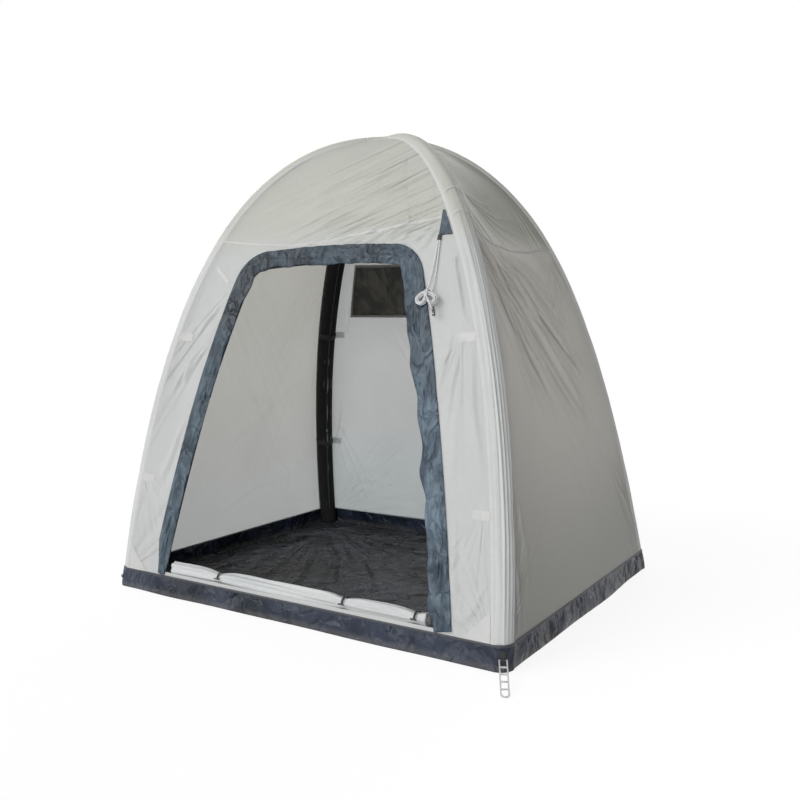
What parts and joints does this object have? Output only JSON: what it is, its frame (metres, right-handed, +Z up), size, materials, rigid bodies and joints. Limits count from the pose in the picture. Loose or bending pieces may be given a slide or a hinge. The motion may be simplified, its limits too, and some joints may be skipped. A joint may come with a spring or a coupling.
{
  "type": "inflatable tent",
  "caption": "Small walk-in tent: curved air tubes meet at a crown, with cloth walls, an arched doorway, a back window, a tub floor and a guy rope.",
  "frame": {"origin": "middle of the floor's underside, on the ground", "axes": "+Z up, the doorway faces -Y, +X to the right of a person who faces the tent from the front"},
  "size_m": [2.083, 1.7715, 2.0657],
  "materials": {
    "air_tube_film": "soft translucent film",
    "black_cloth": "woven polyester",
    "zip_metal": "plated",
    "grey_cloth": "matte coated polyester",
    "shade_cloth": "matte coated polyester",
    "tub_cloth": "coated, slightly glossy",
    "blue_cloth": "coated polyester with a slight sheen",
    "black_plastic": "moulded",
    "net": "fine net",
    "white_rope": "braided",
    "clear_rubber": "clear, glossy",
    "valve_plastic": "moulded"
  },
  "bodies": {
    "tent": {"air_tube_front_left": "air_tube_film", "air_tube_front_right": "air_tube_film", "air_tube_back_right": "air_tube_film", "air_tube_back_left": "air_tube_film", "air_hub": "air_tube_film", "sleeve_front_left": "black_cloth", "sleeve_front_right": "black_cloth", "sleeve_back_right": "black_cloth", "sleeve_back_left": "black_cloth", "lower_strap_front_left": "black_cloth", "lower_strap_front_right": "black_cloth", "lower_strap_back_right": "black_cloth", "lower_strap_back_left": "black_cloth", "upper_strap_front_left": "black_cloth", "upper_strap_front_right": "black_cloth", "upper_strap_back_right": "black_cloth", "upper_strap_back_left": "black_cloth", "corner_strip_front_left": "grey_cloth", "corner_strip_front_right": "grey_cloth", "corner_strip_back_right": "grey_cloth", "corner_strip_back_left": "grey_cloth", "front_wall": "grey_cloth", "right_wall": "shade_cloth", "back_wall": "shade_cloth", "left_wall": "shade_cloth", "crown_patch": "grey_cloth", "groundsheet": "tub_cloth", "storm_flap": "blue_cloth", "door_zip": "black_cloth", "door_panel": "grey_cloth", "door_loop_1": "black_cloth", "door_loop_2": "black_cloth", "door_loop_3": "black_cloth", "window_net": "net", "window_binding": "black_cloth", "guy_patch": "blue_cloth", "guy_webbing": "black_cloth", "guy_hank": "white_rope", "guy_rope": "white_rope", "guy_tail": "white_rope", "rope_tensioner": "black_plastic", "corner_tab_front_left": "black_cloth", "corner_tab_front_right": "black_cloth", "corner_tab_back_right": "black_cloth", "corner_tab_back_left": "black_cloth", "valve_body": "valve_plastic"},
    "sleeve_slider_front_left": {"sleeve_zip_slider_front_left": "zip_metal"},
    "sleeve_slider_front_right": {"sleeve_zip_slider_front_right": "zip_metal"},
    "sleeve_slider_back_right": {"sleeve_zip_slider_back_right": "zip_metal"},
    "sleeve_slider_back_left": {"sleeve_zip_slider_back_left": "zip_metal"},
    "door_slider_left": {"door_slider_left": "zip_metal"},
    "door_puller_left": {"door_puller_left": "black_plastic"},
    "door_slider_right": {"door_slider_right": "zip_metal"},
    "door_puller_right": {"door_puller_right": "black_plastic"},
    "toggle_1": {"door_toggle_1": "black_plastic"},
    "toggle_2": {"door_toggle_2": "black_plastic"},
    "toggle_3": {"door_toggle_3": "black_plastic"},
    "ladder": {"peg_ladder": "clear_rubber"},
    "valve_plunger": {"valve_plunger": "zip_metal"},
    "valve_cap": {"valve_cap": "valve_plastic"}
  },
  "joints": [
    {"name": "sleeve_zip_front_left", "type": "slide", "parent": "tent", "child": "sleeve_slider_front_left", "axis": [0.2293, 0.1304, 0.9646], "range_m": [0, 0.328]},
    {"name": "sleeve_zip_front_right", "type": "slide", "parent": "tent", "child": "sleeve_slider_front_right", "axis": [-0.1802, 0.1927, 0.9646], "range_m": [0, 0.328]},
    {"name": "sleeve_zip_back_right", "type": "slide", "parent": "tent", "child": "sleeve_slider_back_right", "axis": [-0.2293, -0.1304, 0.9646], "range_m": [0, 0.328]},
    {"name": "sleeve_zip_back_left", "type": "slide", "parent": "tent", "child": "sleeve_slider_back_left", "axis": [0.1802, -0.1927, 0.9646], "range_m": [0, 0.328]},
    {"name": "door_zip_left", "type": "slide", "parent": "tent", "child": "door_slider_left", "axis": [0.2546, 0.0966, 0.9622], "range_m": [0, 0.482]},
    {"name": "door_puller_hinge_left", "type": "hinge", "parent": "door_slider_left", "child": "door_puller_left", "pos_m": [-0.69031, -0.77956, 0.13495], "axis": [0.9999, 0.0127, 0], "range_deg": [0, 150]},
    {"name": "door_zip_right", "type": "slide", "parent": "tent", "child": "door_slider_right", "axis": [-0.1611, 0.1762, 0.9711], "range_m": [0, 0.478]},
    {"name": "door_puller_hinge_right", "type": "hinge", "parent": "door_slider_right", "child": "door_puller_right", "pos_m": [0.7062, -0.76533, 0.13379], "axis": [1, 0.0077, 0], "range_deg": [0, 150]},
    {"name": "toggle_turn_1", "type": "hinge", "parent": "tent", "child": "toggle_1", "pos_m": [-0.36382, -0.79646, 0.12527], "axis": [0.0102, -0.9999, 0], "range_deg": [-60, 60]},
    {"name": "toggle_turn_2", "type": "hinge", "parent": "tent", "child": "toggle_2", "pos_m": [0.29019, -0.79036, 0.12423], "axis": [0.0085, -1, 0], "range_deg": [-60, 60]},
    {"name": "toggle_turn_3", "type": "hinge", "parent": "tent", "child": "toggle_3", "pos_m": [0.6172, -0.78772, 0.124], "axis": [0.0076, -1, 0], "range_deg": [-60, 60]},
    {"name": "ladder_hinge", "type": "hinge", "parent": "tent", "child": "ladder", "pos_m": [0.97957, -0.78682, 0.04564], "axis": [-0.8829, -0.4695, 0], "range_deg": [0, 90]},
    {"name": "plunger_press", "type": "slide", "parent": "tent", "child": "valve_plunger", "axis": [-0.755, -0.6268, 0.1927], "range_m": [0, 0.003], "stiffness_N_per_m": 300},
    {"name": "cap_hinge", "type": "hinge", "parent": "tent", "child": "valve_cap", "pos_m": [-0.84091, -0.69699, 0.30393], "axis": [0.6252, -0.7767, -0.0769], "range_deg": [0, 120]}
  ]
}
